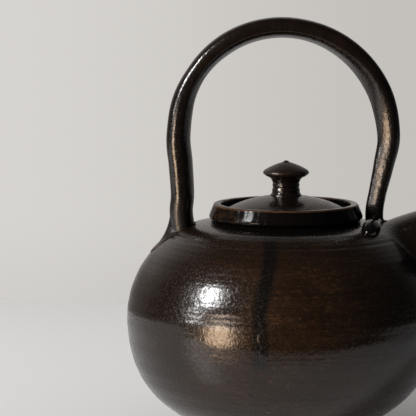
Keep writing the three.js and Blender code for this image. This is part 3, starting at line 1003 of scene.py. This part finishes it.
def thrown_glaze(name, brown=1.0, dull=0.0, with_run=False):
    """Brown goes from 0 for black to 1, dull is added to the roughness, and with_run adds the belly's run,
    its black spots and painted shade.
    """
    finish = Finish(bpy.data.materials.new(name))
    streaks = finish.noise(8, detail=5, stretch=(0.3, 0.3, 5))
    clouds = finish.noise(18, detail=3)
    peel = finish.noise(2.1, detail=1)
    fine_peel = finish.noise(0.9, detail=1)
    specks = finish.specks()
    warm = finish.step(streaks * 0.45 + clouds * 0.35 + finish.noise(1.3, detail=3) * 0.2, 0.38, 0.62)
    colour = finish.mix(warm, DEEP_BROWN, BROWN)
    rust = finish.step(finish.noise(1.7, detail=5, stretch=(0.5, 0.5, 1.5), roughness=0.75), 0.53, 0.66)
    colour = finish.mix(rust * clouds * 0.7, colour, ORANGE_BROWN)
    flecks = finish.step(finish.noise(0.8, detail=2), 0.72, 0.8) * 0.5
    spots = 0
    if with_run:
        patch = finish.near(RUST_PATCH, 4.5) * finish.step(finish.noise(1.1), 0.52, 0.66)
        flecks = flecks + patch
    colour = finish.mix(flecks, colour, GOLD_FLECK)
    if with_run:
        # The belly goes dark towards its sides and top, partly as painted shade.
        colour = finish.mix(brown_with_painted_shade(finish) * 0.85 + 0.15, DARK_GLAZE, colour)
        spots = sum(finish.near(middle, reach) for middle, reach in SPOTS_UNDER_RUN)
        # Painted shadow by the spout's root.
        spout_shade = finish.near(SPOUT_ROOT_SHADE, 12) + (finish.noise(4, detail=3) - 0.5) * 0.7
        # Black: the run, the spots under it, and painted shade by the spout's root and under the collar.
        black = run_share(finish) + spots + finish.step(spout_shade, 0.3, 0.5) + neck_painted_shade(finish)
        colour = finish.mix(black, colour, GLAZE_BLACK)
    else:
        colour = finish.mix(brown, GLAZE_BLACK, colour)
    rough = 0.14 + dull + 0.07 * clouds + 0.18 * specks
    height = peel + fine_peel * 0.35 + streaks * 0.3 + spots * 3
    return finish.surface({"IOR": 1.5}, {"Base Color": colour, "Roughness": rough}, bump=height, depth=0.1)


print("black_spots under the run:", len(SPOTS_UNDER_RUN))

# %% [markdown]
# The handle's glaze lies thick on a surface that was pulled and pinched by hand, so its skin is a deeper
# bump than the belly's. It could be carved into the mesh, but its dents are only a tenth or two of a
# millimetre deep. The smear at its left foot wears it too, and the lump at the right foot is glossier.

# %% Glaze of the handle and of the pressed clay
def handle_glaze():
    """Nearly black, with a warm tint on top of the arch, and a skin as uneven as hammered metal."""
    finish = Finish(bpy.data.materials.new("handle_glaze"))
    place = finish.place()
    height = finish.axis(place, "Z")
    clouds = finish.noise(7, detail=4)
    x = finish.axis(place, "X")
    left_foot_share = finish.step(x * -1, 0, 10) * (1 - finish.step(height, 103, 117))
    right_leg_share = finish.step(x, 10, 38) * (1 - finish.step(height, 155, 180))
    warm = 0.1 + (0.15 + finish.step(clouds, 0.35, 0.8) * 0.3) * finish.step(height, 150, 185)
    colour = finish.mix(warm, GLAZE_BLACK, BROWN)
    skin = finish.noise(2.2, detail=1, stretch=(1, 1, 0.5)) + finish.noise(0.9, detail=1) * 0.25
    skin = skin + clouds * 0.8
    rough = 0.14 + 0.12 * clouds + 0.12 * finish.specks()
    rough = rough + 0.14 * left_foot_share + 0.02 * right_leg_share
    return finish.surface({"IOR": 1.5}, {"Base Color": colour, "Roughness": rough}, bump=skin, depth=0.14)


def black_glaze():
    """The wettest gloss, where the glaze has pooled on the lump of spare clay."""
    finish = Finish(bpy.data.materials.new("black_glaze"))
    clouds = finish.noise(10, detail=3)
    peel = finish.noise(1.8, detail=1.5)
    colour = finish.mix(finish.step(clouds, 0.5, 0.75), GLAZE_BLACK, DEEP_BROWN)
    return finish.surface(
        {"IOR": 1.52}, {"Base Color": colour, "Roughness": 0.07 + 0.06 * clouds},
        bump=clouds * 0.8 + peel * 0.25, depth=0.14)


# %% [markdown]
# The collar is the blackest piece, with only a few narrow reflections. Its specular level is low, and
# tall ripples in the bump draw the window out into upright streaks. On the rim the glaze has run off the
# edge, so a brown line of thin glaze shows there.

# %% Glaze of the collar, and bare clay
PALE_CLAY = (0.27, 0.17, 0.11, 1)
DARK_CLAY = (0.16, 0.088, 0.052, 1)


def collar_glaze():
    """Black, with a brown line of thin glaze on the rim and brown patches on its left."""
    finish = Finish(bpy.data.materials.new("collar_glaze"))
    place = finish.place()
    height = finish.axis(place, "Z")
    leftness = finish.step(finish.axis(place, "X") * -1, 12, 30)
    dull = finish.step(finish.axis(place, "X") * -1, 0, 9)
    patches = finish.step(finish.noise(5, detail=4, stretch=(1, 1, 2)), 0.46, 0.62)
    colour = finish.mix(patches * leftness * 0.6, GLAZE_BLACK, BROWN)
    edge = height + finish.noise(3) * 0.4
    rim = finish.step(edge, COLLAR_TOP - 0.75, COLLAR_TOP - 0.35)
    rim = rim * (1 - finish.step(edge, COLLAR_TOP, COLLAR_TOP + 0.2))
    colour = finish.mix(rim, colour, RIM_BROWN)
    ripples = finish.noise(6, detail=1.5, stretch=(1, 1, 0.15)) + finish.noise(1.6, detail=1) * 0.08
    rough = 0.08 + 0.08 * dull + 0.08 * patches
    return finish.surface(
        {"IOR": 1.5, "Specular IOR Level": 0.11}, {"Base Color": colour, "Roughness": rough},
        bump=ripples, depth=0.6)


def bare_clay():
    """Matt and grainy, on the foot and on the lid's flange."""
    finish = Finish(bpy.data.materials.new("bare_clay"))
    grains = finish.noise(0.7, detail=4)
    clouds = finish.noise(14, detail=3)
    colour = finish.mix(clouds, DARK_CLAY, PALE_CLAY)
    rough = 0.75 + 0.2 * grains
    return finish.surface({}, {"Base Color": colour, "Roughness": rough}, bump=grains, depth=0.2)


# %% [markdown]
# Each finish is made once and given to its pieces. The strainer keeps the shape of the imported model,
# since it is hidden inside the pot, and only gets its glaze here.

# %% Put the finishes on
FINISHES = {
    "belly": ["belly_glazed", "glaze_run", "spout_coil_glazed"],
    "brown": ["gallery_glazed", "strainer"],
    "cap": ["knob_cap_glazed"],
    "dark": ["spout_glazed", "lid_plate_glazed", "knob_stem_glazed"],
    "handle": ["handle_pulled", "handle_foot_left_smear"],
    "collar": ["collar_glazed"],
    "black": ["handle_foot_right_smear"],
    "clay": ["foot_turned", "lid_flange_bare"],
}
materials = {
    "belly": thrown_glaze("belly_glaze", with_run=True),
    "brown": thrown_glaze("brown_glaze", brown=0.3),
    "dark": thrown_glaze("dark_glaze", brown=0.22),
    "cap": thrown_glaze("cap_glaze", brown=0.7, dull=0.14),
    "handle": handle_glaze(),
    "collar": collar_glaze(),
    "black": black_glaze(),
    "clay": bare_clay(),
}
for kind, names in FINISHES.items():
    for name in names:
        bpy.data.objects[name].data.materials.clear()
        bpy.data.objects[name].data.materials.append(materials[kind])
print("finishes:", sorted(materials))

# %% [markdown]
# The room is dark, and a glossy pot shows all of it. Behind the pot are a pale wall and a pale table,
# whose front edge is close to the pot. The table's back edge fades into the wall. A picture of a room
# could light the pot, but single lights can be moved until each reflection lies right.

# %% Table
TABLE_NEAR = (0.82, 0.82, 0.82, 1)
TABLE_FAR = (1.0, 1.0, 1.0, 1)
TABLE_FRONT = -0.185
TABLE_BACK = 0.402
TABLE_FADE = 0.03
TABLE_MIDDLE = -0.1
TABLE_WIDTH = 3.6


def build_table():
    """The table's top. Its paint reads places in millimetres, as every finish does."""
    bpy.ops.object.select_all(action="DESELECT")
    middle = (TABLE_MIDDLE, (TABLE_FRONT + TABLE_BACK) / 2, 0)
    bpy.ops.mesh.primitive_plane_add(size=1, location=middle)
    table = bpy.context.object
    table.name = "table"
    table.scale = (TABLE_WIDTH, TABLE_BACK - TABLE_FRONT, 1)
    make_active(table)
    bpy.ops.object.transform_apply(location=True, rotation=False, scale=True)
    finish = Finish(bpy.data.materials.new("table_paint"))
    place = finish.place()
    depth = finish.axis(place, "Y")
    back = TABLE_BACK / MM
    shown = 1 - finish.step(depth, back - TABLE_FADE / MM, back)
    # Paler towards the back: painted light that makes up for the window's light falling off there.
    tone = finish.mix(finish.step(depth, -150, 300), TABLE_NEAR, TABLE_FAR)
    table.data.materials.append(
        finish.surface({"Roughness": 0.3, "IOR": 1.4}, {"Base Color": tone, "Alpha": shown}))


build_table()
print("table from", TABLE_FRONT, "to", TABLE_BACK, "metres")

# %% [markdown]
# The world is the wall. The camera sees it pale, a little darker on the right and near the table. The
# gloss sees the same wall, and round it a room that falls dark upwards and to both sides. Matt surfaces
# gather light from everywhere, so they get a soft even light instead of single reflections.

# %% Wall and room
WALL_LEFT = (0.680, 0.660, 0.635, 1)
WALL_RIGHT = (0.550, 0.530, 0.500, 1)
WALL_MIRRORED = (0.50, 0.465, 0.44, 1)
ROOM_DARK = (0.02, 0.02, 0.022, 1)
ROOM_SOFT = (0.26, 0.26, 0.265, 1)


def light_room():
    """The world, with one colour each for the camera, the gloss and the matt surfaces."""
    world = bpy.data.worlds.new("room")
    bpy.context.scene.world = world
    room = Finish(world)
    direction = room.node("ShaderNodeTexCoord", output="Generated")
    x = room.axis(direction, "X")
    y = room.axis(direction, "Y")
    z = room.axis(direction, "Z")
    backdrop = room.mix(room.step(x, -0.11, 0.11), WALL_LEFT, WALL_RIGHT)
    wall = room.step(y, 0.2, 0.9) * (1 - room.step(z, 0.6, 0.95) * 0.8)
    wall = wall * (1 - room.step(x * -1, 0.1, 0.5) * (1 - room.step(z, 0.05, 0.35)) * 0.6)
    wall = wall * (1 - room.step(x, 0.1, 0.4) * 0.6)
    mirrored = room.mix(wall, ROOM_DARK, WALL_MIRRORED)
    spread = room.node("ShaderNodeLightPath", output="Is Diffuse Ray")
    mirrored = room.mix(spread, mirrored, ROOM_SOFT)
    seen = room.node("ShaderNodeLightPath", output="Is Camera Ray")
    strength = 1 - room.step(z * -1, 0.11, 0.16) * 0.07
    colour = room.mix(seen, mirrored, backdrop)
    background = room.node("ShaderNodeBackground", None, {"Color": colour, "Strength": strength})
    room.node("ShaderNodeOutputWorld", None, {"Surface": background})


light_room()
print("world:", bpy.context.scene.world.name)

# %% [markdown]
# Four soft lights are the reflections on the belly's left: an oval window high up, a fainter one below
# it, and low down a warm patch of sun with a paler glow above it. They are area lights, because the
# gloss shows a light's outline. The Standard view keeps the table and the wall as pale as they are.

# %% Lights
LIGHT_AIM = Vector((0, 0, 0.07))


def add_light(name, azimuth, elevation, distance, width, height, brightness, colour):
    """An oval light that faces the pot. Azimuth 0 is the camera's side, and -90 is the left."""
    turn = math.radians(azimuth)
    rise = math.radians(elevation)
    place = Vector((math.sin(turn) * math.cos(rise), -math.cos(turn) * math.cos(rise), math.sin(rise)))
    bpy.ops.object.light_add(type="AREA", location=place * distance + LIGHT_AIM)
    light = bpy.context.object
    light.name = name
    light.data.shape = "ELLIPSE"
    light.data.size = width
    light.data.size_y = height
    light.data.energy = brightness * width * height * math.pi ** 2 / 4
    light.data.color = colour
    light.rotation_mode = "QUATERNION"
    light.rotation_quaternion = place.to_track_quat("Z", "Y")
    print(name, "at", [round(value, 2) for value in light.location])


add_light("window", -64.7, 31, 1.6, 0.37, 0.46, 50, (1.0, 1.0, 1.0))
add_light("lower_window", -70, 12, 1.6, 0.28, 0.24, 20, (1.0, 0.99, 0.97))
add_light("sun_patch", -48.5, -5, 1.0, 0.34, 0.38, 15, (1.0, 0.70, 0.46))
add_light("sun_glow", -47, 5, 1.0, 0.36, 0.20, 8, (1.0, 0.84, 0.74))
bpy.context.scene.view_settings.view_transform = "Standard"
